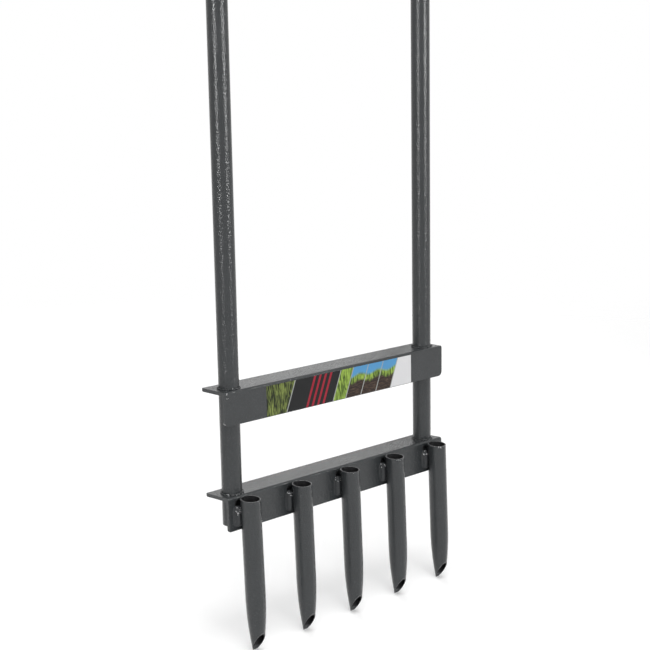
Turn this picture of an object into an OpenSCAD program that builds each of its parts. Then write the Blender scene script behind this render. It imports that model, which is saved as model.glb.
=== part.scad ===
// Hollow tine lawn aerator: a welded frame of two round uprights, a cross handle with two
// grips, an upper bar for the foot and a lower bar that carries five hollow tines.
// X runs along the bars, -Y is the front, +Z is up. The origin lies on the ground, under
// the middle of the tool, which stands on the points of its tines.

/* [Frame] */
// Height from the tine points to the top of the handle
overall_h = 960; // [800:5:1100]
// Outside diameter of the two uprights
upright_d = 22.8; // [18:0.2:24]
// Wall thickness of the uprights
upright_wall = 1.4; // [1:0.1:3]
// Distance between the axes of the two uprights
upright_spacing = 314; // [250:1:400]
// Gap between the uprights and the front flanges
upright_gap = 0.6; // [0.4:0.1:3]
// Height of the uprights' lower ends above the edge of the lower bar
upright_stop = 2; // [0:0.5:10]
// Widening of the uprights' bores at their coped tops
cope_bevel = 0.8; // [0.2:0.1:1]
// Distance from the start of this widening to the handle tube
cope_gap = 0.5; // [0.2:0.1:2]

/* [Bars] */
// Thickness of the angle section of both bars
bar_t = 4; // [3:0.5:6]
// Height of the front flange
bar_height = 38; // [30:1:50]
// Depth of the top flange
bar_depth = 38; // [34:1:50]
// Radius of the outer edge between the flanges
heel_r = 2.5; // [1:0.5:4]
// Radius of the inner corner between the flanges
root_r = 3; // [1:0.5:5]
// Radius of the inner edges at the flanges' ends
toe_r = 2.5; // [1:0.5:2.5]
// Radius of the back corners of the top flanges
back_corner_r = 0.8; // [0.4:0.2:8]
// Radius of the lower corners of the upper bar
foot_corner_r = 6; // [1:0.5:10]
// Radius of the lower corners of the lower bar
tine_corner_r = 1; // [0.5:0.5:8]
// How far the upper bar runs past the uprights
foot_bar_end = 8.6; // [4:0.2:40]
// How far the lower bar runs past the uprights
tine_bar_end = 7.6; // [4:0.2:40]
// Height of the upper bar's top above the lower bar's top
bar_rise = 118; // [80:1:200]
// Clearance around the uprights in the holes of the top flanges
hole_clear = 0.3; // [0.1:0.1:0.8]

/* [Tines] */
// Outside diameter of a tine
tine_d = 22.8; // [18:0.2:25]
// Wall thickness of a tine
tine_wall = 1.2; // [0.8:0.1:3]
// Length of a tine from its rim to its point
tine_len = 174; // [140:1:220]
// How far the outer tines' axes lie inside the uprights' axes
tine_inset = 3; // [-5:0.5:40]
// Depth of the rims' middles below the top of the lower bar
rim_drop = 3; // [0:0.5:8]
// Slant of the rims, down towards the front
rim_tilt = 6; // [0:0.5:20]
// Length of the drawn-in lower end
taper_len = 64; // [40:1:90]
// Outside diameter at the point
tip_d = 12; // [9:0.5:16]
// Angle of the slanting cut above the horizontal
cut_angle = 57; // [45:1:65]
// Width of the blunt land that the cut leaves at the point
tip_land = 0.9; // [0.5:0.1:2]
// Forward lean of the lower bar and its tines
rake = 2; // [0:0.5:4]
// Gap between a tine and the flange it stands against
root_gap = 0.1; // [0:0.05:0.5]

/* [Handle] */
// Outside diameter of the handle tube
handle_d = 25; // [24:0.5:30]
// Wall thickness of the handle tube
handle_wall = 1.5; // [1:0.1:3]
// Length of a grip
grip_len = 105; // [80:1:140]
// Gap between a grip and the weld under the handle
grip_gap = 4.1; // [1:0.1:60]
// Diameter over the ribs at the middle of a grip
grip_d = 34; // [31:0.5:40]
// Diameter of the collar at the inner end of a grip
collar_d = 39; // [36:0.5:46]
// Thickness of the collar
collar_t = 6; // [4:0.5:10]
// Number of ribs on a grip
rib_count = 13; // [6:1:18]
// Depth of the grooves between the ribs
rib_depth = 1.3; // [0.5:0.1:2]
// Length of an end plug inside the tube
plug_len = 14; // [8:1:30]
// Thickness of an end plug's head
plug_head = 3.5; // [2:0.5:6]
// Radial gap under the grips and around the plugs
snug = 0.1; // [0.05:0.05:0.3]

/* [Welds] */
// Leg of the fillet welds around the uprights
weld_leg = 1.8; // [1:0.1:5]
// Width of the welds under the handle
handle_bead = 2.5; // [1.5:0.5:4]
// Radius of the flat beads beside the tines
tine_bead_r = 6.3; // [5:0.1:8]
// How far the tine beads stand proud of the lower bar
tine_bead_rise = 3.4; // [2:0.2:4.8]
// Distance from the side of a tine to the middle of its bead
tine_bead_step = 1.2; // [0:0.2:3]
// Start of the tine beads below the top of the lower bar
tine_bead_drop = 10; // [6:0.5:14]
// End of the tine beads above the lower edge of the lower bar
tine_bead_stop = 4; // [1:0.5:6]

/* [Label] */
// Length of the label on the upper bar
label_len = 236; // [150:1:270]
// Shift of the label to the right of the middle
label_shift = 1.5; // [-8:0.5:8]
// Bare strip above and below the label
label_margin = 0.5; // [0.2:0.1:4]
// Thickness of the label
label_t = 0.2; // [0.1:0.05:0.4]

/* [Hidden] */
$fn = 64;
// Small overrun of a cut past the face that it opens
over = 1;
left = -1;
right = 1;

upright_r = upright_d / 2;
handle_r = handle_d / 2;
tine_r = tine_d / 2;
tip_r = tip_d / 2;

// Lengths that follow from the distance between the uprights
foot_bar_len = upright_spacing + 2 * (upright_r + foot_bar_end);
tine_bar_len = upright_spacing + 2 * (upright_r + tine_bar_end);
handle_len = upright_spacing + 2 * (upright_r + handle_bead + grip_gap + grip_len);
tine_count = 5;
tine_pitch = (upright_spacing - 2 * tine_inset) / (tine_count - 1);

// Depths behind the front face of the front flanges
upright_y = bar_t + upright_gap + upright_r;
tine_y = -(tine_r + root_gap);

// Drawn-in end: an arc that leaves the straight tube without a kink
tip_z = -(rim_drop + tine_len);
taper_z = tip_z + taper_len;
draw_in = tine_r - tip_r;
taper_arc_r = (taper_len * taper_len + draw_in * draw_in) / (2 * draw_in);
taper_steps = 10;
function taper_r(s) = tine_r - taper_arc_r + sqrt(taper_arc_r * taper_arc_r - s * s);

// Height of the lower bar's top edge, with the tine points on the ground
point_y = tine_y + tip_r;
tine_bar_z = point_y * sin(rake) - tip_z * cos(rake);
handle_z = overall_h - handle_r;

// The front face stands where the whole tool is centred over the origin
foremost_s = taper_arc_r * sin(rake);
foremost = (taper_r(foremost_s) - tine_y) * cos(rake) + (foremost_s - taper_z) * sin(rake);
rearmost = max(bar_depth, upright_y + collar_d / 2);
face_y = (foremost - rearmost) / 2;

// Upright ends: just above the lower edge of the leaning front flange
upright_end_z = upright_stop - bar_height * cos(rake);

// Grooves and ribs of a grip
grip_start = collar_t;
rib_pitch = (grip_len - grip_start) / rib_count;
rib_steps = 6;
grip_swell = 0.8;
end_round = 2.5;

// Bead beside a tine: the place of its middle, and of its root on the side of the tine
bead_x = tine_r + tine_bead_step;
bead_y = tine_bead_r - tine_bead_rise;
bead_turn = 30;
bead_bite = 0.95;

steel = "#4b4d50";
rubber = "#1d1d1e";
plastic = "#121213";
weld_metal = "#55575a";

// Moves its children to the front face, at a height above the lower bar's top edge
module at_face(rise = 0) {
  translate([0, face_y, tine_bar_z + rise]) children();
}

// The same for all that leans with the lower bar
module leaning() {
  at_face() rotate([-rake, 0, 0]) children();
}

module at_upright(side, rise = 0) {
  at_face(rise) translate([side * upright_spacing / 2, upright_y, 0]) children();
}

// What a square corner has outside its quarter round, in the corner's own quadrant
module spandrel(r) {
  difference() {
    square(r + over);
    circle(r);
  }
}

module angle_section() {
  inner = bar_t + root_r;
  difference() {
    union() {
      translate([0, -bar_height]) square([bar_t, bar_height]);
      translate([0, -bar_t]) square([bar_depth, bar_t]);
      translate([bar_t, -inner]) square([root_r, root_r]);
    }
    translate([inner, -inner]) circle(root_r);
    translate([heel_r, -heel_r]) mirror([1, 0]) spandrel(heel_r);
    translate([bar_t - toe_r, toe_r - bar_height]) mirror([0, 1]) spandrel(toe_r);
    translate([bar_depth - toe_r, toe_r - bar_t]) mirror([0, 1]) spandrel(toe_r);
  }
}

module on_side(side) {
  mirror([side == left ? 1 : 0, 0, 0]) children();
}

// Angle bar with its outer edge along X, at the origin, and its flanges down and back
module angle_bar(len, low_r) {
  cut = bar_t + 2 * over;
  difference() {
    rotate([90, 0, 90]) linear_extrude(len, center = true) angle_section();
    for (side = [left, right]) on_side(side) {
      translate([len / 2 - low_r, -over, -bar_height + low_r])
        rotate([-90, 0, 0]) linear_extrude(cut) spandrel(low_r);
      translate([len / 2 - back_corner_r, bar_depth - back_corner_r, -bar_t - over])
        linear_extrude(cut) spandrel(back_corner_r);
    }
  }
}

module upright_hole(side, rise) {
  at_upright(side, rise) translate([0, 0, -bar_height])
    cylinder(r = upright_r + hole_clear, h = 2 * bar_height);
}

module handle_solid(r, len) {
  at_upright(0) translate([-len / 2, 0, handle_z - tine_bar_z]) rotate([0, 90, 0])
    cylinder(r = r, h = len);
}

// Bore of an upright: straight up to the handle, and wider inside the coped end
module upright_bore(len) {
  bore = upright_r - upright_wall;
  straight = len - handle_r - cope_gap;
  rotate_extrude() polygon([[0, -over], [bore, -over], [bore, straight],
    [bore + cope_bevel, straight + handle_r], [0, straight + handle_r]]);
}

module upright(side) {
  len = handle_z - tine_bar_z - upright_end_z;
  color(steel) difference() {
    at_upright(side, upright_end_z) cylinder(r = upright_r, h = len);
    at_upright(side, upright_end_z) upright_bore(len);
    handle_solid(handle_r, handle_len);
  }
}

module handle_tube() {
  color(steel) difference() {
    handle_solid(handle_r, handle_len);
    handle_solid(handle_r - handle_wall, handle_len + 2 * over);
  }
}

module foot_bar() {
  color(steel) difference() {
    at_face(bar_rise) angle_bar(foot_bar_len, foot_corner_r);
    upright_hole(left, bar_rise);
    upright_hole(right, bar_rise);
  }
}

module tine_bar() {
  color(steel) difference() {
    leaning() angle_bar(tine_bar_len, tine_corner_r);
    upright_hole(left, 0);
    upright_hole(right, 0);
  }
}

function tine_x(number) = (number - (tine_count + 1) / 2) * tine_pitch;

// Drawn-in side of a tine on its way down or up, at a depth of wall under the outside
function way_down(wall) = [for (i = [0:taper_steps])
  let(s = taper_len * i / taper_steps) [taper_r(s) - wall, taper_z - s]];
function way_up(wall) = [for (i = [0:taper_steps])
  let(s = taper_len * (1 - i / taper_steps)) [taper_r(s) - wall, taper_z - s]];

// Tube that still runs past the rim
module tine_tube() {
  top = tine_r - rim_drop;
  rotate_extrude() polygon(concat(
    [[tine_r, top]], way_down(0), way_up(tine_wall), [[tine_r - tine_wall, top]]));
}

module tine(number) {
  reach = 2 * tine_len;
  color(steel) leaning() translate([tine_x(number), 0, 0]) difference() {
    translate([0, tine_y, 0]) tine_tube();
    translate([0, tine_y, -rim_drop]) rotate([rim_tilt, 0, 0])
      translate([-tine_d, -reach, 0]) cube([2 * tine_d, 2 * reach, reach]);
    translate([0, point_y - tip_land, tip_z]) rotate([-cut_angle, 0, 0])
      translate([-tine_d, -reach, -reach]) cube([2 * tine_d, reach + tine_d, reach]);
  }
}

// Radius of a grip at a distance from its inner end: ribs on a slight swell
function grip_outer(x) =
  let(along = (x - grip_start) / (grip_len - grip_start), swell = grip_swell * sin(180 * along))
  grip_d / 2 - grip_swell + swell - rib_depth * (1 + cos(360 * (x - grip_start) / rib_pitch)) / 2;

module grip_outline() {
  bore = handle_r + snug;
  collar = collar_d / 2;
  ribs = [for (i = [0:rib_count * rib_steps])
    let(x = grip_start + i * rib_pitch / rib_steps) [grip_outer(x), x]];
  difference() {
    polygon(concat([[bore, 0], [collar, 0], [collar, collar_t]], ribs, [[bore, grip_len]]));
    translate([collar - end_round, end_round]) mirror([0, 1]) spandrel(end_round);
    translate([collar - end_round, collar_t - end_round]) spandrel(end_round);
  }
}

module grip(side) {
  color(rubber) at_upright(0)
    translate([side * (handle_len / 2 - grip_len), 0, handle_z - tine_bar_z])
    rotate([0, side * 90, 0]) rotate_extrude() grip_outline();
}

// Head against the end of the tube, stem inside it
module end_plug(side) {
  stem = handle_r - handle_wall - snug;
  dome = plug_head / 2;
  color(plastic) at_upright(0)
    translate([side * handle_len / 2, 0, handle_z - tine_bar_z])
    rotate([0, side * 90, 0]) rotate_extrude() difference() {
      union() {
        translate([0, -plug_len]) square([stem, plug_len]);
        square([handle_r, plug_head]);
      }
      translate([handle_r - dome, plug_head - dome]) spandrel(dome);
    }
}

// Weld that follows the curve where an upright meets the handle
module handle_weld(side) {
  band = handle_r + handle_bead;
  color(weld_metal) difference() {
    intersection() {
      at_upright(side, handle_z - tine_bar_z - 2 * band)
        cylinder(r = upright_r + handle_bead, h = 2 * band - 0.3 * handle_r);
      handle_solid(band, handle_len);
    }
    handle_solid(handle_r, handle_len + 2 * over);
    at_upright(side, handle_z - tine_bar_z - 3 * band) cylinder(r = upright_r, h = 4 * band);
  }
}

// Fillet ring around an upright, with a skirt that reaches down to a top that leans
module weld_ring(lean) {
  toe = upright_r + weld_leg;
  crown = upright_r + 0.6 * weld_leg;
  skirt = 0.25 * bar_t + (upright_y + toe) * sin(lean);
  rotate_extrude() polygon([[upright_r, -skirt], [toe, -skirt], [toe, 0.25 * weld_leg],
    [crown, 0.75 * weld_leg], [upright_r, weld_leg]]);
}

module foot_bar_weld(side) {
  color(weld_metal) difference() {
    at_upright(side, bar_rise) weld_ring(0);
    at_face(bar_rise) angle_bar(foot_bar_len, foot_corner_r);
  }
}

module tine_bar_weld(side) {
  color(weld_metal) difference() {
    at_upright(side, 0) weld_ring(rake);
    leaning() angle_bar(tine_bar_len, tine_corner_r);
  }
}

// Flat bead with round ends and a root that runs in between the tine and the flange
module tine_bead(side) {
  from_z = -bar_height + tine_bead_stop + tine_bead_r;
  len = bar_height - tine_bead_stop - tine_bead_drop - 2 * tine_bead_r;
  root_x = bead_bite * tine_r * cos(bead_turn);
  root_y = tine_y + bead_bite * tine_r * sin(bead_turn);
  on_side(side) difference() {
    union() {
      translate([bead_x, bead_y, from_z]) {
        cylinder(r = tine_bead_r, h = len);
        sphere(tine_bead_r);
        translate([0, 0, len]) sphere(tine_bead_r);
      }
      translate([0, 0, from_z]) linear_extrude(len)
        polygon([[root_x, root_y], [bead_x, -tine_bead_rise], [bead_x, over], [tine_r / 2, over]]);
    }
    translate([0, tine_y, -2 * bar_height]) cylinder(r = tine_r, h = 3 * bar_height);
    translate([-tine_d, 0, -2 * bar_height]) cube([3 * tine_d, 2 * tine_bead_r, 3 * bar_height]);
  }
}

module tine_welds(number) {
  color(weld_metal) leaning() translate([tine_x(number), 0, 0]) {
    tine_bead(left);
    tine_bead(right);
  }
}

module label() {
  height = bar_height - heel_r - 2 * label_margin;
  color("seagreen") at_face(bar_rise)
    translate([label_shift - label_len / 2, -label_t, -bar_height + label_margin])
    cube([label_len, label_t, height]);
}

upright(left);  // left_upright
upright(right);  // right_upright
handle_tube();
foot_bar();
tine_bar();
tine(1);  // tine_1
tine(2);  // tine_2
tine(3);  // tine_3
tine(4);  // tine_4
tine(5);  // tine_5
grip(left);  // left_grip
grip(right);  // right_grip
end_plug(left);  // left_end_plug
end_plug(right);  // right_end_plug
handle_weld(left);  // left_handle_weld
handle_weld(right);  // right_handle_weld
foot_bar_weld(left);  // left_foot_bar_weld
foot_bar_weld(right);  // right_foot_bar_weld
tine_bar_weld(left);  // left_tine_bar_weld
tine_bar_weld(right);  // right_tine_bar_weld
tine_welds(1);  // tine_1_welds
tine_welds(2);  // tine_2_welds
tine_welds(3);  // tine_3_welds
tine_welds(4);  // tine_4_welds
tine_welds(5);  // tine_5_welds
label();
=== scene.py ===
from math import cos, pi, radians, sin, sqrt
from random import Random

import bmesh
import bpy
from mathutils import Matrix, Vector, noise


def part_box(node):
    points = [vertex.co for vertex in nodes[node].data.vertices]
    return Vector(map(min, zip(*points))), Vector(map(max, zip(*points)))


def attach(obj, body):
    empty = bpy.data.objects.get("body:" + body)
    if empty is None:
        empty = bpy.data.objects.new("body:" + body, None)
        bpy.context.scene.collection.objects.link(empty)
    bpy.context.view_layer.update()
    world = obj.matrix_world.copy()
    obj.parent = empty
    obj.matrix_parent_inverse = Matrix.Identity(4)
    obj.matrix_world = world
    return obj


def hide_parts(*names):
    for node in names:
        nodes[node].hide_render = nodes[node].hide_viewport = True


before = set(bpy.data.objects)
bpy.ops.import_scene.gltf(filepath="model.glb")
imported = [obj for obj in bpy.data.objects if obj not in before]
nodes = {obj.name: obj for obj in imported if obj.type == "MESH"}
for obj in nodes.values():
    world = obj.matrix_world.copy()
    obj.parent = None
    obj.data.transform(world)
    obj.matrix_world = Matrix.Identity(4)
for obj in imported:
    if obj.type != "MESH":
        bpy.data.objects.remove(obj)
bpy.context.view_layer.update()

scene = bpy.context.scene
mm = 0.001
print("frame loaded, pieces:", len(nodes))

# sizes of the frame that the welds and the label are set by, in metres
tool = {
    "uprightSpacing": 314 * mm,
    "uprightRadius": 11.4 * mm,
    "uprightBack": 16 * mm,      # axis behind the front faces of the bars
    "barRise": 118 * mm,         # top of the upper bar over the top of the lower bar
    "lean": radians(2),          # of the lower bar and its tines, forward at the bottom
    "tineRadius": 11.4 * mm,
    "tinePitch": 77 * mm,
    "tineFront": 11.5 * mm,      # axis in front of the lower bar's face
    "tineEnd": 177 * mm,         # points below the top of the lower bar
    "taperLength": 64 * mm,
    "drawnIn": 5.4 * mm,         # less radius at the point
    "rimDrop": 3 * mm,           # middle of a tine's rim below the top of the lower bar
    "rimTilt": radians(6),       # of the rim, down at the front
    "handleRadius": 12.5 * mm,
}
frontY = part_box("foot_bar")[0].y
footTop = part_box("foot_bar")[1].z
tineTop = footTop - tool["barRise"]
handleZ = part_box("handle_tube")[1].z - tool["handleRadius"]
uprightY = frontY + tool["uprightBack"]


# a point of the lower bar: y behind its front face, z above its top edge
def leaning(x, y, z):
    a = tool["lean"]
    return Vector((x, frontY + y * cos(a) + z * sin(a), tineTop - y * sin(a) + z * cos(a)))


# node trees: settings are sockets or properties by name, links are sockets by name or as i0, i1
def addNode(tree, kind, settings=None, **links):
    made = tree.nodes.new(kind)
    for key, value in (settings or {}).items():
        if isinstance(key, int) or key in made.inputs:
            made.inputs[key].default_value = value
        else:
            setattr(made, key, value)
    for key, source in links.items():
        tree.links.new(source, made.inputs[int(key[1:]) if key[0] == "i" and key[1:].isdigit() else key])
    return made


def mathNode(tree, operation, first, second=None, third=None):
    made = tree.nodes.new("ShaderNodeMath")
    made.operation = operation
    for index, value in enumerate((first, second, third)):
        if value is None:
            continue
        if isinstance(value, (int, float)):
            made.inputs[index].default_value = value
        else:
            tree.links.new(value, made.inputs[index])
    return made.outputs[0]


def mixColour(tree, factor, first, second):
    made = tree.nodes.new("ShaderNodeMix")
    made.data_type = "RGBA"
    for index, value in ((0, factor), (6, first), (7, second)):
        if isinstance(value, tuple):
            made.inputs[index].default_value = (*value, 1)
        else:
            tree.links.new(value, made.inputs[index])
    return made.outputs[2]


def mapRange(tree, value, low, high, toLow=0.0, toHigh=1.0, smooth=False):
    made = tree.nodes.new("ShaderNodeMapRange")
    made.interpolation_type = "SMOOTHSTEP" if smooth else "LINEAR"
    tree.links.new(value, made.inputs[0])
    for index, number in enumerate((low, high, toLow, toHigh)):
        made.inputs[index + 1].default_value = number
    return made.outputs[0]


def newGroup(name, inputs, outputs):
    group = bpy.data.node_groups.new(name, "ShaderNodeTree")
    for way, sockets in (("INPUT", inputs), ("OUTPUT", outputs)):
        for socket, kind in sockets.items():
            group.interface.new_socket(socket, in_out=way, socket_type="NodeSocket" + kind)
    return group, group.nodes.new("NodeGroupInput"), group.nodes.new("NodeGroupOutput")


def placeGroup(tree, group, values):
    made = tree.nodes.new("ShaderNodeGroup")
    made.node_tree = group
    for key, value in values.items():
        made.inputs[key].default_value = value
    return made


def newMaterial(name, values):
    material = bpy.data.materials.new(name)
    material.use_nodes = True
    shader = material.node_tree.nodes["Principled BSDF"]
    for key, value in values.items():
        shader.inputs[key].default_value = value
    return material, material.node_tree, shader


def dress(obj, material):
    obj.data.materials.clear()
    obj.data.materials.append(material)


def meshObject(name, mesh):
    data = bpy.data.meshes.new(name)
    mesh.to_mesh(data)
    mesh.free()
    obj = bpy.data.objects.new(name, data)
    scene.collection.objects.link(obj)
    return obj


noiseSpan = (0.3, 0.7)      # where most of a noise lies

# hammered enamel: flat dimples that touch each other, with pale flakes that sit between them
hammer = {
    "softness": 0.5,                                     # of the edges between dimples
    "bowl": 0.8,                                         # how far the hollow of a dimple reaches, in dimples
    "rimSpan": (0.25, 0.7), "rimTone": (0.97, 1.04),     # shade from the middle to the edge
    "peel": {"Scale": 900.0, "Detail": 2.0}, "peelShare": 0.15,
    "flakeDensity": 2.3, "flakeDisc": (0.25, 0.5), "flakeGloss": -0.08,
    "cloud": {"Scale": 26.0, "Detail": 4.0, "Roughness": 0.55}, "cloudTone": (0.95, 1.05), "cloudWander": 0.04,
}


def hammeredSkinGroup():
    group, given, out = newGroup(
        "hammeredSkin",
        {"Colour": "Color", "Flake Colour": "Color", "Dimple Size": "Float", "Flake Share": "Float",
         "Roughness": "Float"},
        {"Colour": "Color", "Roughness": "Float", "Height": "Float"})
    place = group.nodes.new("ShaderNodeTexCoord").outputs["Object"]
    density = mathNode(group, "DIVIDE", 1.0, given.outputs["Dimple Size"])
    dimples = addNode(group, "ShaderNodeTexVoronoi", {"feature": "SMOOTH_F1", "Smoothness": hammer["softness"]},
                      Vector=place, Scale=density)
    fromMiddle = dimples.outputs["Distance"]
    fineDensity = mathNode(group, "MULTIPLY", density, hammer["flakeDensity"])
    flakes = addNode(group, "ShaderNodeTexVoronoi", {"feature": "F1"}, Vector=place, Scale=fineDensity)
    flakeChance = group.nodes.new("ShaderNodeSeparateColor")
    group.links.new(flakes.outputs["Color"], flakeChance.inputs[0])
    threshold = mathNode(group, "SUBTRACT", 1.0, given.outputs["Flake Share"])
    isFlake = mathNode(group, "GREATER_THAN", flakeChance.outputs[0], threshold)
    flakeDisc = mapRange(group, flakes.outputs["Distance"], *hammer["flakeDisc"], 1.0, 0.0)
    flakeMask = mathNode(group, "MULTIPLY", isFlake, flakeDisc)
    cloud = addNode(group, "ShaderNodeTexNoise", hammer["cloud"], Vector=place)
    tone = mapRange(group, cloud.outputs[0], *noiseSpan, *hammer["cloudTone"])
    rim = mapRange(group, fromMiddle, *hammer["rimSpan"], *hammer["rimTone"])
    shade = mathNode(group, "MULTIPLY", tone, rim)
    shaded = addNode(group, "ShaderNodeVectorMath", {"operation": "SCALE"}, i0=given.outputs["Colour"], Scale=shade)
    colour = mixColour(group, flakeMask, shaded.outputs[0], given.outputs["Flake Colour"])
    group.links.new(colour, out.inputs["Colour"])
    wander = mapRange(group, cloud.outputs[0], *noiseSpan, -hammer["cloudWander"], hammer["cloudWander"])
    rough = mathNode(group, "ADD", given.outputs["Roughness"], wander)
    rough = mathNode(group, "MULTIPLY_ADD", flakeMask, hammer["flakeGloss"], rough)
    group.links.new(rough, out.inputs["Roughness"])
    peel = addNode(group, "ShaderNodeTexNoise", hammer["peel"], Vector=place)
    bowl = mapRange(group, fromMiddle, 0.0, hammer["bowl"], smooth=True)
    height = mathNode(group, "MULTIPLY_ADD", peel.outputs[0], hammer["peelShare"], bowl)
    group.links.new(height, out.inputs["Height"])
    return group


# moulded grain for the rubber and plastic pieces
moulding = {"haze": {"Scale": 45.0, "Detail": 5.0, "Roughness": 0.6}, "hazeTone": (0.75, 1.35), "hazeWander": 0.08}


def mouldedGrainGroup():
    group, given, out = newGroup(
        "mouldedGrain",
        {"Colour": "Color", "Grain Size": "Float", "Roughness": "Float"},
        {"Colour": "Color", "Roughness": "Float", "Height": "Float"})
    place = group.nodes.new("ShaderNodeTexCoord").outputs["Object"]
    density = mathNode(group, "DIVIDE", 1.0, given.outputs["Grain Size"])
    grain = addNode(group, "ShaderNodeTexVoronoi", {"feature": "F1"}, Vector=place, Scale=density)
    haze = addNode(group, "ShaderNodeTexNoise", moulding["haze"], Vector=place)
    tone = mapRange(group, haze.outputs[0], *noiseSpan, *moulding["hazeTone"])
    shaded = addNode(group, "ShaderNodeVectorMath", {"operation": "SCALE"}, i0=given.outputs["Colour"], Scale=tone)
    group.links.new(shaded.outputs[0], out.inputs["Colour"])
    wander = mapRange(group, haze.outputs[0], *noiseSpan, -moulding["hazeWander"], moulding["hazeWander"])
    group.links.new(mathNode(group, "ADD", given.outputs["Roughness"], wander), out.inputs["Roughness"])
    group.links.new(grain.outputs["Distance"], out.inputs["Height"])
    return group


hammeredSkin = hammeredSkinGroup()
mouldedGrain = mouldedGrainGroup()


def skinMaterial(name, group, look):
    material, tree, shader = newMaterial(name, {"Specular IOR Level": look["specular"]})
    skin = placeGroup(tree, group, look["skin"])
    bump = addNode(tree, "ShaderNodeBump", {"Strength": look["bumpStrength"], "Distance": look["bumpDepth"]},
                   Height=skin.outputs["Height"])
    tree.links.new(skin.outputs["Colour"], shader.inputs["Base Color"])
    tree.links.new(skin.outputs["Roughness"], shader.inputs["Roughness"])
    tree.links.new(bump.outputs[0], shader.inputs["Normal"])
    return material, tree, shader


# anthracite hammer paint, on the frame and on the tines
enamel = {
    "skin": {"Colour": (0.0285, 0.0312, 0.033, 1), "Flake Colour": (0.062, 0.065, 0.067, 1),
             "Dimple Size": 1.7 * mm, "Flake Share": 0.06, "Roughness": 0.2},
    "specular": 0.36, "bumpStrength": 1.0, "bumpDepth": 0.2 * mm,
}
framePaint, _, _ = skinMaterial("anthraciteHammerPaint", hammeredSkin, enamel)

# inside a tine's tube the colour darkens to dark oxide and painted shade, darker deeper up the tube, and on the rim
# it is worn
tineSkin = {
    "insideColour": (0.02, 0.02, 0.021), "insideRougher": 0.4,
    "land": 0.5 * mm, "landSoft": 0.8,           # width of the painted wall, and where its edge starts
    "shadeStart": 2.8 * mm, "dark": 5 * mm,           # oxide and painted shade start and are full, above the points
    "rimFacing": (0.75, 0.92),                   # how far a face looks up the tube to count as rim
    "wornColour": (0.13, 0.13, 0.135), "wearSize": 1.3 * mm, "wearDetail": 2.0, "wearSpan": (0.45, 0.6),
}


def tineMaterial():
    material, tree, shader = skinMaterial("anthraciteTinePaint", hammeredSkin, enamel)
    place = tree.nodes.new("ShaderNodeTexCoord").outputs["Object"]
    normal = tree.nodes.new("ShaderNodeTexCoord").outputs["Normal"]
    origin = leaning(0, -tool["tineFront"], 0)
    outward = leaning(0, 1, 0) - leaning(0, 0, 0)
    upward = leaning(0, 0, 1) - leaning(0, 0, 0)

    def along(direction, source):
        made = addNode(tree, "ShaderNodeVectorMath", {"operation": "DOT_PRODUCT", 1: direction}, i0=source)
        return made.outputs["Value"]

    # distance from the nearest tine's axis, against the outer radius at that height
    axes = addNode(tree, "ShaderNodeSeparateXYZ", i0=place)
    aside = mathNode(tree, "PINGPONG", axes.outputs["X"], tool["tinePitch"] / 2)
    fromAxis = addNode(tree, "ShaderNodeVectorMath", {"operation": "SUBTRACT", 1: origin}, i0=place).outputs[0]
    forward, height = along(outward, fromAxis), along(upward, fromAxis)
    squares = mathNode(tree, "MULTIPLY_ADD", aside, aside, mathNode(tree, "POWER", forward, 2.0))
    radius = mathNode(tree, "SQRT", squares)
    point = -tool["tineEnd"]
    drawn = mapRange(tree, height, point + tool["taperLength"], point)
    outer = mathNode(tree, "MULTIPLY_ADD", mathNode(tree, "MULTIPLY", drawn, drawn), -tool["drawnIn"],
                     tool["tineRadius"])
    deep = mathNode(tree, "SUBTRACT", outer, radius)
    inside = mapRange(tree, deep, tineSkin["land"] * tineSkin["landSoft"], tineSkin["land"])
    upTube = mapRange(tree, height, point + tineSkin["shadeStart"], point + tineSkin["dark"])

    rim = mapRange(tree, along(upward, normal), *tineSkin["rimFacing"])
    notRim = mathNode(tree, "SUBTRACT", 1.0, rim)
    # painted shade: the inside of the tube goes dark above the point, not on rim faces, and is made rougher and
    # metallic there
    oxideAndShade = mathNode(tree, "MULTIPLY", mathNode(tree, "MULTIPLY", inside, upTube), notRim)
    wear = {"Scale": 1 / tineSkin["wearSize"], "Detail": tineSkin["wearDetail"]}
    scuffs = addNode(tree, "ShaderNodeTexNoise", wear, Vector=place)
    worn = mathNode(tree, "MULTIPLY", rim, mapRange(tree, scuffs.outputs[0], *tineSkin["wearSpan"]))
    paint = mixColour(tree, worn, shader.inputs["Base Color"].links[0].from_socket, tineSkin["wornColour"])
    tree.links.new(mixColour(tree, oxideAndShade, paint, tineSkin["insideColour"]), shader.inputs["Base Color"])
    smooth = shader.inputs["Roughness"].links[0].from_socket
    rougher = mathNode(tree, "MULTIPLY_ADD", oxideAndShade, tineSkin["insideRougher"], smooth)
    tree.links.new(rougher, shader.inputs["Roughness"])
    tree.links.new(oxideAndShade, shader.inputs["Metallic"])
    return material


# paint over a weld, with pale painted glints, and dark painted shade and burn, where the mesh marks them
weldSkin = {
    "skin": {"Colour": (0.0205, 0.0225, 0.024, 1), "Flake Colour": (0.12, 0.12, 0.125, 1),
             "Dimple Size": 1.2 * mm, "Flake Share": 0.05, "Roughness": 0.34},
    "specular": 0.3, "bumpStrength": 0.5, "bumpDepth": 0.1 * mm,
    # pale painted glints, and dark painted shade that also serves as burn on the ring welds
    "paintedGlintColour": (0.62, 0.62, 0.63), "shadeAndBurnColour": (0.03, 0.031, 0.032),
}


def weldMaterial():
    material, tree, shader = skinMaterial("paintOverWeld", hammeredSkin, weldSkin)
    colour = shader.inputs["Base Color"].links[0].from_socket
    for mark in ("paintedGlint", "shadeAndBurn"):
        marked = addNode(tree, "ShaderNodeAttribute", {"attribute_type": "GEOMETRY", "attribute_name": mark})
        colour = mixColour(tree, marked.outputs["Fac"], colour, weldSkin[mark + "Colour"])
    tree.links.new(colour, shader.inputs["Base Color"])
    tree.links.new(marked.outputs["Fac"], shader.inputs["Metallic"])     # metallic where painted shade and burn are marked
    return material


tinePaint = tineMaterial()
weldPaint = weldMaterial()

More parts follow.
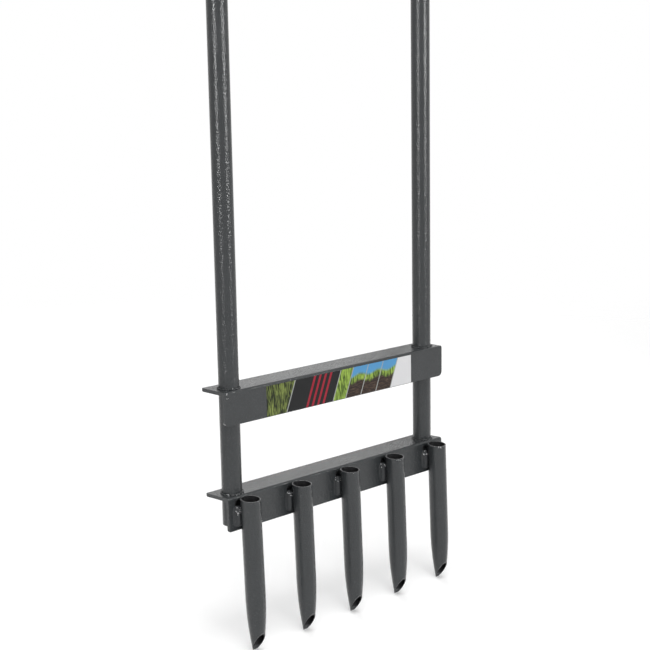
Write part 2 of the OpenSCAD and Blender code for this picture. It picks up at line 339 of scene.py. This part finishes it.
rubber = {
    "skin": {"Colour": (0.018, 0.018, 0.019, 1), "Grain Size": 0.9 * mm, "Roughness": 0.62},
    "specular": 0.35, "bumpStrength": 0.35, "bumpDepth": 0.1 * mm,
}
plastic = {
    "skin": {"Colour": (0.014, 0.014, 0.015, 1), "Grain Size": 0.5 * mm, "Roughness": 0.42},
    "specular": 0.5, "bumpStrength": 0.25, "bumpDepth": 0.06 * mm,
}
gripRubber, _, _ = skinMaterial("blackGripRubber", mouldedGrain, rubber)
plugPlastic, _, _ = skinMaterial("blackPlugPlastic", mouldedGrain, plastic)

# the label: slanted panels of lawn, dark film with four slashes, meadow, a landscape in three tiles, and white
label = {
    "length": 236 * mm,
    "shift": 1.5 * mm,           # to the right of the middle
    "height": 34.5 * mm,
    "foot": 37.5 * mm,           # lower edge below the top of the upper bar
    "slant": 0.4,
    "lawnEnd": 0.85, "darkEnd": 2.95, "meadowEnd": 3.55, "pictureEnd": 5.75,   # in label heights, at the lower edge
    "slashes": (1.75, 2.0, 2.25, 2.5), "slashWidth": 0.1,
    "rules": (4.28, 5.02), "ruleWidth": 0.04,
    "hedge": 0.47, "sky": 0.29,                              # lower edges in the landscape, below the top
    "waves": 7.0, "waveHeight": 0.05, "tuftHeight": 0.09,    # of the hedge's foot and of its leaves
    "panelSoft": 0.012, "hedgeSoft": 0.04, "skySoft": 0.05,  # half the width of an edge
    "stripeSoft": (0.35, 0.6),                               # edge of a stripe, in its widths
    "lawnBlades": (620, 110, 0.42, 0.68),                    # blades per metre along and up, dark and light noise
    "meadowBlades": (480, 90, 0.38, 0.62),
    "hedgeBlades": (900, 200, 0.3, 0.7),
    "furrows": (140, 1000, 0.45, 0.7),
    "bladeNoise": {"Scale": 1.0, "Detail": 4.0, "Distortion": 0.6},
    "lawnDark": (0.008, 0.012, 0.003), "lawnLight": (0.2, 0.25, 0.06),
    "meadowDark": (0.03, 0.06, 0.006), "meadowLight": (0.3, 0.44, 0.07),
    "red": (0.3, 0.012, 0.028), "dark": (0.006, 0.0065, 0.007), "skyColour": (0.08, 0.27, 0.5),
    "field": (0.018, 0.01, 0.0075), "furrow": (0.085, 0.052, 0.034),
    "white": (0.64, 0.64, 0.65), "line": (0.32, 0.33, 0.32),
    "specular": 0.18, "hazeNoise": {"Scale": 60.0, "Detail": 3.0}, "roughness": (0.28, 0.4),
}


def labelMaterial():
    material, tree, shader = newMaterial("printedLabelFilm", {"Specular IOR Level": label["specular"]})
    place = tree.nodes.new("ShaderNodeTexCoord").outputs["Object"]
    axes = addNode(tree, "ShaderNodeSeparateXYZ", i0=place)
    half, height = label["length"] / 2, label["height"]
    along = mapRange(tree, axes.outputs["X"], label["shift"] - half, label["shift"] + half, 0.0, 2 * half / height)
    foot = footTop - label["foot"]
    up = mapRange(tree, axes.outputs["Z"], foot, foot + height)
    slanted = mathNode(tree, "MULTIPLY_ADD", up, -label["slant"], along)

    def past(edge, soft=label["panelSoft"], of=slanted):
        return mapRange(tree, of, edge - soft, edge + soft)

    def stripe(middle, width):
        away = mathNode(tree, "ABSOLUTE", mathNode(tree, "SUBTRACT", slanted, middle))
        low, high = label["stripeSoft"]
        return mapRange(tree, away, width * low, width * high, 1.0, 0.0)

    def blades(wide, tall, low, high):
        stretched = addNode(tree, "ShaderNodeVectorMath", {"operation": "MULTIPLY", 1: (wide, wide, tall)}, i0=place)
        strands = addNode(tree, "ShaderNodeTexNoise", label["bladeNoise"], Vector=stretched.outputs[0])
        return mapRange(tree, strands.outputs[0], low, high)

    lawn = mixColour(tree, blades(*label["lawnBlades"]), label["lawnDark"], label["lawnLight"])
    meadow = mixColour(tree, blades(*label["meadowBlades"]), label["meadowDark"], label["meadowLight"])

    # a ploughed field, a hedge with a wavy foot behind it, and the sky
    swing = mathNode(tree, "SINE", mathNode(tree, "MULTIPLY", along, label["waves"]))
    wave = mathNode(tree, "MULTIPLY_ADD", swing, label["waveHeight"], up)
    tufted = mathNode(tree, "MULTIPLY_ADD", blades(*label["hedgeBlades"]), label["tuftHeight"], wave)
    field = mixColour(tree, blades(*label["furrows"]), label["field"], label["furrow"])
    hedged = mixColour(tree, past(1 - label["hedge"], label["hedgeSoft"], tufted), field, meadow)
    picture = mixColour(tree, past(1 - label["sky"], label["skySoft"], wave), hedged, label["skyColour"])
    for at in label["rules"]:
        picture = mixColour(tree, stripe(at, label["ruleWidth"]), picture, label["line"])

    # panel after panel from the left
    colour = mixColour(tree, past(label["lawnEnd"]), lawn, label["dark"])
    for at in label["slashes"]:
        colour = mixColour(tree, stripe(at, label["slashWidth"]), colour, label["red"])
    colour = mixColour(tree, past(label["darkEnd"]), colour, meadow)
    colour = mixColour(tree, past(label["meadowEnd"]), colour, picture)
    colour = mixColour(tree, past(label["pictureEnd"]), colour, label["white"])
    for at in ("lawnEnd", "darkEnd", "meadowEnd", "pictureEnd"):
        colour = mixColour(tree, stripe(label[at], label["ruleWidth"]), colour, label["line"])
    tree.links.new(colour, shader.inputs["Base Color"])
    haze = addNode(tree, "ShaderNodeTexNoise", label["hazeNoise"], Vector=place)
    tree.links.new(mapRange(tree, haze.outputs[0], *noiseSpan, *label["roughness"]), shader.inputs["Roughness"])
    return material


for name, node in nodes.items():
    if name.endswith("grip"):
        dress(node, gripRubber)
    elif name.endswith("plug"):
        dress(node, plugPlastic)
    elif "weld" in name:
        dress(node, weldPaint)
    elif name == "label":
        dress(node, labelMaterial())
    elif name.startswith("tine_") and name != "tine_bar":
        dress(node, tinePaint)
    else:
        dress(node, framePaint)
print("paint, rubber, plastic and label film on")

# small drops of metal that the welding threw around
spatter = {
    "count": 5, "small": 0.25 * mm, "large": 0.55 * mm, "squash": 0.7, "proud": 0.2,
    "besideTine": (17 * mm, 25 * mm), "highest": -4 * mm,    # from a tine's axis, and from the lower bar's top
    "upTube": (4, 9), "onFlange": (4, 8),                    # mm above a flange, and mm from an upright
}


def noiseShift(seed):
    return Vector((seed * 7.3, seed * 3.1, seed * 5.7))


def smoothStep(value, low, high):
    t = min(1, max(0, (value - low) / (high - low)))
    return t * t * (3 - 2 * t)


# marks on the vertices, for the weld paint: painted glint, and painted shade with burn
def marks(mesh):
    return [mesh.verts.layers.float.get(mark) or mesh.verts.layers.float.new(mark) for mark in ("paintedGlint", "shadeAndBurn")]


# a drop pressed flat along the normal of what it sits on, marked if its pale colour is a painted glint
def addDroplet(mesh, spot, radius, normal, squash=spatter["squash"], mark=None):
    made = bmesh.ops.create_icosphere(mesh, subdivisions=2, radius=radius)["verts"]
    for vertex in made:
        vertex.co -= normal * vertex.co.dot(normal) * (1 - squash)
        vertex.co += spot
        if mark is not None:
            vertex[mark] = 1.0


# a weld bead swept along a closed path: scalloped ripples and an uneven width
def sweepBead(mesh, path, outward, bead, seed):
    count, sides = len(path), bead["sides"]
    shift = noiseShift(seed)
    rings, run = [], 0.0
    for k in range(count):
        tangent = (path[(k + 1) % count] - path[k - 1]).normalized()
        side = (outward[k] - tangent * outward[k].dot(tangent)).normalized()
        across = tangent.cross(side)
        if k:
            run += (path[k] - path[k - 1]).length
        ring = []
        for j in range(sides):
            angle = 2 * pi * j / sides
            phase = (run + bead["bow"] * cos(angle)) / bead["pitch"]
            scallop = 1 - (2 * (phase % 1) - 1) ** 2
            spot = path[k] + side * cos(angle) * bead["radius"] + across * sin(angle) * bead["radius"]
            rough = noise.noise(spot * bead["lumps"] + shift)
            r = bead["radius"] + bead["ripple"] * (scallop - 1) + bead["uneven"] * rough
            ring.append(mesh.verts.new(path[k] + (side * cos(angle) + across * sin(angle)) * r))
        rings.append(ring)
    for k in range(count):
        first, second = rings[k], rings[(k + 1) % count]
        for j in range(sides):
            mesh.faces.new((first[j], first[(j + 1) % sides], second[(j + 1) % sides], second[j]))


def finishWeld(name, mesh, replaced):
    bmesh.ops.recalc_face_normals(mesh, faces=mesh.faces)
    obj = meshObject(name, mesh)
    for polygon in obj.data.polygons:
        polygon.use_smooth = True
    dress(obj, weldPaint)
    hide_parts(replaced)
    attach(obj, "root")


# welds beside the tines, one each side: a flat pad from the lower bar to the tine; heights are from the bar's top,
# and distances across are from the tine's axis
pad = {
    "from": -34.2 * mm, "to": -10.5 * mm, "middle": 11.4 * mm, "halfWidth": 6.0 * mm,
    "height": 2.0 * mm, "share": (1.0, 0.55, 0.55, 0.6, 0.7),               # of that height, tine by tine
    "fillet": 2.4 * mm, "filletFoot": 13.0 * mm, "filletTop": 9.8 * mm,     # more height against the tine
    "bite": 0.5 * mm,                        # into the wall of the tine
    "settle": 0.08 * mm, "sunk": 0.7 * mm,   # edges and back below the bar's face
    "feather": 2.2, "outline": 4, "endBlunt": 6, "endFeather": 0.6, "endWidth": 0.05,
    "wobble": 0.12, "wobbleScale": 260,
    "calm": 0.15 * mm, "rough": 0.6 * mm, "lumps": 420, "restless": (0.5, 0.8), "edgeCalm": 3,
    # ragged edge of the painted shade patch
    "shadeLumps": 0.9, "shadeSpan": (0.2, 0.9),
    "columns": 34, "rows": 66,
}
# painted shade over each pad: a thin dark patch in the crevice between the lower bar and the tine
creviceShade = {
    **pad, "from": -10.8 * mm, "to": -3.6 * mm, "middle": 10.2 * mm, "halfWidth": 3.9 * mm,
    "height": 0.4 * mm, "fillet": 0.0, "feather": 0.5, "calm": 0.35 * mm, "rough": 0.5 * mm, "lumps": 500,
    "columns": 24, "rows": 24,
}
# painted glints: pale drops on the pads, and on the tubes below their rims; counts and lowest heights are tine by
# tine
paintedGlints = {
    "count": (14, 9, 7, 5, 9), "small": 0.25 * mm, "large": 0.6 * mm, "proud": 0.3,
    "from": (-20, -17, -17, -16, -17), "to": -11 * mm, "near": 7.8 * mm, "far": 13.8 * mm,
    "onRim": (0, 0, 1, 3, 7), "rimTurn": (-0.75, -0.55), "rimBelow": (0.2, 1.6), "rimSize": (0.2, 0.4),
}


# how full a pad is, from 1 to 0 at its edge, and its height where it is full
def padRise(shape, across, half, end):
    u = (across - shape["middle"]) / half
    body = max(0.0, 1 - max(u, 0) ** 2) ** shape["feather"]
    body *= max(0.0, 1 - end ** shape["endBlunt"]) ** shape["endFeather"]
    return body, shape["height"] + shape["fillet"] * smoothStep(across, shape["filletFoot"], shape["filletTop"])


def underTine(across, rise):
    if across >= tool["tineRadius"]:
        return rise
    return min(rise, tool["tineFront"] - sqrt(tool["tineRadius"] ** 2 - across ** 2) + pad["bite"])


def layPad(mesh, tineX, side, shape, seed, dark=0.0):
    shadeAndBurn = marks(mesh)[1]
    columns, rows = shape["columns"], shape["rows"]
    shift = noiseShift(seed)
    front, back = [], []
    for row in range(rows + 1):
        v = row / rows
        end = abs(2 * v - 1)
        z = shape["from"] + (shape["to"] - shape["from"]) * v
        wobble = shape["wobble"] * noise.noise(Vector((z * shape["wobbleScale"], seed, 0)))
        half = shape["halfWidth"] * (sqrt(max(0.0, 1 - end ** shape["outline"])) * (1 + wobble) + shape["endWidth"])
        restless = shape["calm"] + (shape["rough"] - shape["calm"]) * smoothStep(v, *shape["restless"])
        frontRow, backRow = [], []
        for column in range(columns + 1):
            u = 2 * column / columns - 1
            across = shape["middle"] + half * u
            x = tineX + side * across
            body, height = padRise(shape, across, half, end)
            lump = noise.noise(Vector((x, 0, z)) * shape["lumps"] + shift)
            rise = height * body + restless * lump * min(1, shape["edgeCalm"] * body) - shape["settle"]
            vertex = mesh.verts.new(leaning(x, -underTine(across, rise), z))
            # painted shade, where dark is given
            vertex[shadeAndBurn] = dark * smoothStep(body + shape["shadeLumps"] * lump, *shape["shadeSpan"])
            frontRow.append(vertex)
            backRow.append(mesh.verts.new(leaning(x, shape["sunk"], z)))
        front.append(frontRow)
        back.append(backRow)
    for row in range(rows):
        for column in range(columns):
            for sheet in (front, back):
                low, high = sheet[row], sheet[row + 1]
                mesh.faces.new((low[column], low[column + 1], high[column + 1], high[column]))
        for column in (0, columns):
            mesh.faces.new((front[row][column], front[row + 1][column], back[row + 1][column], back[row][column]))
    for row in (0, rows):
        for column in range(columns):
            mesh.faces.new((front[row][column], front[row][column + 1], back[row][column + 1], back[row][column]))


def tineWelds(number):
    mesh = bmesh.new()
    paintedGlint = marks(mesh)[0]
    chance = Random(100 + number)
    middle = (number - 3) * tool["tinePitch"]
    forward = Vector((0, -1, 0))
    shape = dict(pad, height=pad["height"] * pad["share"][number - 1])
    for side in (-1, 1):
        layPad(mesh, middle, side, shape, number * 2 + side)
        # the painted shade in the crevice above the pad
        layPad(mesh, middle, side, creviceShade, number * 2 + side + 20, 1.0)
        for _ in range(paintedGlints["count"][number - 1]):
            across = chance.uniform(paintedGlints["near"], paintedGlints["far"])
            z = chance.uniform(paintedGlints["from"][number - 1] * mm, paintedGlints["to"])
            end = abs(2 * (z - pad["from"]) / (pad["to"] - pad["from"]) - 1)
            body, height = padRise(shape, across, pad["halfWidth"], end)
            radius = chance.uniform(paintedGlints["small"], paintedGlints["large"])
            rise = underTine(across, body * height) + paintedGlints["proud"] * radius
            addDroplet(mesh, leaning(middle + side * across, -rise, z), radius, forward, mark=paintedGlint)
        for _ in range(spatter["count"]):
            x = middle + side * chance.uniform(*spatter["besideTine"])
            z = chance.uniform(pad["from"], spatter["highest"])
            radius = chance.uniform(spatter["small"], spatter["large"])
            addDroplet(mesh, leaning(x, -spatter["proud"] * radius, z), radius, forward)
    for _ in range(paintedGlints["onRim"][number - 1]):
        turn = chance.uniform(*paintedGlints["rimTurn"]) * pi
        back = tool["tineRadius"] * sin(turn)
        z = back * sin(tool["rimTilt"]) - tool["rimDrop"] - chance.uniform(*paintedGlints["rimBelow"]) * mm
        spot = leaning(middle + tool["tineRadius"] * cos(turn), back - tool["tineFront"], z)
        addDroplet(mesh, spot, chance.uniform(*paintedGlints["rimSize"]) * mm, Vector((cos(turn), sin(turn), 0)), mark=paintedGlint)
    finishWeld("tine%dWelds" % number, mesh, "tine_%d_welds" % number)


for number in range(1, 6):
    tineWelds(number)
print("tine welds laid")

# rings around the uprights on the tops of both bars
ringBead = {
    "radius": 1.3 * mm, "ripple": 0.35 * mm, "uneven": 1.2 * mm, "pitch": 2.3 * mm, "bow": 0.9 * mm, "lumps": 330,
    "sides": 16, "step": 0.4 * mm, "off": 0.35 * mm, "rise": 0.3 * mm,
    "burnt": {"foot": 0.5, "tine": 0.85}, "burntScale": 160, "burntSpan": (-0.45, 0.0),
    # painted glints: pale drops on the ring
    "paintedGlints": {"foot": 3, "tine": 16}, "glintTurn": (-0.9, 0.0), "glintSize": (0.25 * mm, 0.5 * mm),
    "glintOut": 1.6 * mm, "glintUp": 1.5 * mm, "glintSquash": 0.8,
    # painted glints on the upper bar's front: bar end, mm aside from the upright's axis, mm below the top, radius in
    # mm
    "glintSplashes": ((-1, -16.4, 2.6, 0.5), (-1, -15.9, 1.5, 0.4), (-1, -16.2, 7.1, 0.35), (-1, -14.2, 7.0, 0.25)),
}


def turnsAround(bead):
    radius = tool["uprightRadius"] + bead["off"]
    count = int(2 * pi * radius / bead["step"])
    return radius, [2 * pi * k / count for k in range(count)]


def barWeld(name, side, bar, topZ, lean, replaced):
    mesh = bmesh.new()
    paintedGlint, shadeAndBurn = marks(mesh)
    chance = Random(name)
    axisX = side * tool["uprightSpacing"] / 2

    def onTop(radius, turn, rise):
        x, y = axisX + radius * cos(turn), uprightY + radius * sin(turn)
        return Vector((x, y, topZ - (y - frontY) * sin(lean) + rise))

    ringRadius, turns = turnsAround(ringBead)
    path = [onTop(ringRadius, turn, ringBead["rise"]) for turn in turns]
    outward = [Vector((cos(turn), sin(turn), 1)) for turn in turns]
    sweepBead(mesh, path, outward, ringBead, side + len(name))
    for vertex in mesh.verts:
        # burnt patches on the ring, in the same mark as the painted shade of the tine welds
        scorch = smoothStep(noise.noise(vertex.co * ringBead["burntScale"]), *ringBead["burntSpan"])
        vertex[shadeAndBurn] = ringBead["burnt"][bar] * scorch
    for _ in range(ringBead["paintedGlints"][bar]):
        turn = chance.uniform(*ringBead["glintTurn"]) * pi
        radius = chance.uniform(*ringBead["glintSize"])
        lift = chance.uniform(0.0, 1.0)
        spot = onTop(ringRadius + ringBead["glintOut"] * (1 - lift), turn, ringBead["glintUp"] * lift)
        addDroplet(mesh, spot, radius, Vector((cos(turn), sin(turn), 0)), ringBead["glintSquash"], paintedGlint)
    for _ in range(spatter["count"]):
        turn = chance.uniform(0, 2 * pi)
        radius = chance.uniform(spatter["small"], spatter["large"])
        spot = onTop(tool["uprightRadius"], turn, chance.uniform(*spatter["upTube"]) * mm)
        addDroplet(mesh, spot, radius, Vector((cos(turn), sin(turn), 0)))
        turn = chance.uniform(0, pi)
        spot = onTop(tool["uprightRadius"] + chance.uniform(*spatter["onFlange"]) * mm, turn, 0)
        addDroplet(mesh, spot, radius, Vector((0, 0, 1)))
    for end, aside, below, radius in ringBead["glintSplashes"]:
        if bar == "foot" and end == side:
            spot = Vector((axisX + aside * mm, frontY, topZ - below * mm))
            addDroplet(mesh, spot, radius * mm, Vector((0, -1, 0)), mark=paintedGlint)
    finishWeld(name, mesh, replaced)


for side, word in ((-1, "left"), (1, "right")):
    barWeld(word + "FootBarWeld", side, "foot", footTop, 0.0, word + "_foot_bar_weld")
    barWeld(word + "TineBarWeld", side, "tine", tineTop, tool["lean"], word + "_tine_bar_weld")
print("ring welds laid")

# saddle-shaped welds where the uprights meet the handle tube
saddleBead = {
    "radius": 2.0 * mm, "ripple": 0.5 * mm, "uneven": 0.6 * mm, "pitch": 2.6 * mm, "bow": 1.0 * mm, "lumps": 450,
    "sides": 16, "step": 0.42 * mm, "off": 0.35 * mm, "drop": 0.6 * mm, "outward": -0.8,
}


def handleWeld(side, word):
    mesh = bmesh.new()
    axisX = side * tool["uprightSpacing"] / 2
    ringRadius, turns = turnsAround(saddleBead)
    path, outward = [], []
    for turn in turns:
        y = ringRadius * sin(turn)
        under = sqrt(max(0.0, tool["handleRadius"] ** 2 - y * y))
        path.append(Vector((axisX + ringRadius * cos(turn), uprightY + y, handleZ - under - saddleBead["drop"])))
        outward.append(Vector((cos(turn), sin(turn), saddleBead["outward"])))
    sweepBead(mesh, path, outward, saddleBead, 20 + side)
    finishWeld(word + "HandleWeld", mesh, word + "_handle_weld")


handleWeld(-1, "left")
handleWeld(1, "right")
print("handle welds laid")

# a pale round floor that fades out, soft lamps, and the camera where the photograph was taken
studio = {
    "floorRadius": 2.6, "floorSegments": 96, "floorColour": 0.85,
    "floorFade": 1.3, "floorClear": 2.548,    # distances where the floor starts to fade and is gone
    "floorLift": 0.2, "floorGlow": 0.5,       # added light of the floor, seen by the camera and in gloss
    "fill": 0.34,                             # world light on the object; what is seen of the world is white
    "lamps": [
        {"name": "topSoftbox", "place": (-0.25, -0.35, 2.3), "aim": (0, 0, 0.4), "size": (1.5, 1.1), "power": 27},
        {"name": "frontSoftbox", "place": (-1.6, -2.8, 1.7), "aim": (0, 0, 0.4), "size": (2.2, 2.2), "power": 70,
         "glossy": False},
        {"name": "backSoftbox", "place": (1.6, 2.8, 1.7), "aim": (0, 0, 0.4), "size": (2.2, 2.2), "power": 55,
         "glossy": False},
        {"name": "leftStrip", "place": (-2.17, -0.6, 1.2), "aim": (0, 0, 0.6), "size": (0.3, 1.5), "power": 43,
         "diffuse": False},
        {"name": "rightStrip", "place": (0.7, -2.14, 1.2), "aim": (0, 0, 0.6), "size": (0.3, 1.5), "power": 55,
         "diffuse": False},
    ],
    "stand": {"place": (1.9, 1.68, 1.05), "size": (0.1, 1.3), "turn": 47, "colour": (0.02, 0.02, 0.02, 1),
              "roughness": 0.7},
    "camera": {"place": (-1.04342, -1.06358, 0.60655), "turn": (79.5766, 0.9843, -44.0866), "lens": 72.344,
               "sensor": 36, "shift": (-0.00064, 0.01562), "clip": (0.05, 50)},
}


def mirroredRay(tree, path):
    return mathNode(tree, "MAXIMUM", path.outputs["Is Glossy Ray"], path.outputs["Is Transmission Ray"])


def makeFloor():
    mesh = bmesh.new()
    bmesh.ops.create_circle(mesh, cap_ends=True, radius=studio["floorRadius"], segments=studio["floorSegments"])
    floor = meshObject("studioFloor", mesh)
    material = bpy.data.materials.new("paleFloor")
    material.use_nodes = True
    tree = material.node_tree
    tree.nodes.clear()
    grey = studio["floorColour"]
    matt = addNode(tree, "ShaderNodeBsdfDiffuse", {"Color": (grey, grey, grey, 1)})
    path = tree.nodes.new("ShaderNodeLightPath")
    glow = mathNode(tree, "MULTIPLY", mirroredRay(tree, path), studio["floorGlow"])
    strength = mathNode(tree, "MULTIPLY_ADD", path.outputs["Is Camera Ray"], studio["floorLift"], glow)
    lift = addNode(tree, "ShaderNodeEmission", {"Color": (1, 1, 1, 1)}, Strength=strength)
    both = addNode(tree, "ShaderNodeAddShader", i0=matt.outputs[0], i1=lift.outputs[0])
    place = tree.nodes.new("ShaderNodeTexCoord").outputs["Object"]
    length = addNode(tree, "ShaderNodeVectorMath", {"operation": "LENGTH"}, i0=place)
    fade = mapRange(tree, length.outputs["Value"], studio["floorFade"], studio["floorClear"], smooth=True)
    clear = tree.nodes.new("ShaderNodeBsdfTransparent")
    mixed = addNode(tree, "ShaderNodeMixShader", i0=fade, i1=both.outputs[0], i2=clear.outputs[0])
    addNode(tree, "ShaderNodeOutputMaterial", i0=mixed.outputs[0])
    dress(floor, material)


def makeWorld():
    world = bpy.data.worlds.new("studioWorld")
    scene.world = world
    world.use_nodes = True
    tree = world.node_tree
    background = tree.nodes["Background"]
    background.inputs["Color"].default_value = (1, 1, 1, 1)
    path = tree.nodes.new("ShaderNodeLightPath")
    seen = mathNode(tree, "MAXIMUM", path.outputs["Is Camera Ray"], mirroredRay(tree, path))
    strength = mathNode(tree, "MULTIPLY_ADD", seen, 1 - studio["fill"], studio["fill"])
    tree.links.new(strength, background.inputs["Strength"])


# the strips shine only in the gloss of the paint, the softboxes in front and behind only on its colour
def makeLamps():
    for lamp in studio["lamps"]:
        data = bpy.data.lights.new(lamp["name"], "AREA")
        data.shape = "RECTANGLE"
        data.size, data.size_y = lamp["size"]
        data.energy = lamp["power"]
        obj = bpy.data.objects.new(lamp["name"], data)
        obj.location = lamp["place"]
        obj.rotation_euler = (Vector(lamp["aim"]) - Vector(lamp["place"])).to_track_quat("-Z", "Y").to_euler()
        obj.visible_diffuse = lamp.get("diffuse", True)
        obj.visible_glossy = lamp.get("glossy", True)
        scene.collection.objects.link(obj)


# a narrow black panel behind the tool, which shows only as a dark line in its gloss
def makeStand():
    stand = studio["stand"]
    mesh = bmesh.new()
    bmesh.ops.create_grid(mesh, x_segments=1, y_segments=1, size=0.5)
    obj = meshObject("lampStand", mesh)
    obj.location = stand["place"]
    obj.scale = (*stand["size"], 1)
    obj.rotation_euler = (pi / 2, 0, -radians(stand["turn"]))
    obj.visible_camera = obj.visible_diffuse = obj.visible_shadow = False
    material, _, _ = newMaterial("blackStand", {"Base Color": stand["colour"], "Roughness": stand["roughness"]})
    dress(obj, material)


def makeCamera():
    view = studio["camera"]
    data = bpy.data.cameras.new("photoCamera")
    data.sensor_width = view["sensor"]
    data.lens = view["lens"]
    data.shift_x, data.shift_y = view["shift"]
    data.clip_start, data.clip_end = view["clip"]
    camera = bpy.data.objects.new("photoCamera", data)
    camera.location = view["place"]
    camera.rotation_euler = [radians(angle) for angle in view["turn"]]
    scene.collection.objects.link(camera)
    scene.camera = camera


makeFloor()
makeWorld()
makeLamps()
makeStand()
makeCamera()
scene.view_settings.view_transform = "Standard"
print("studio set")
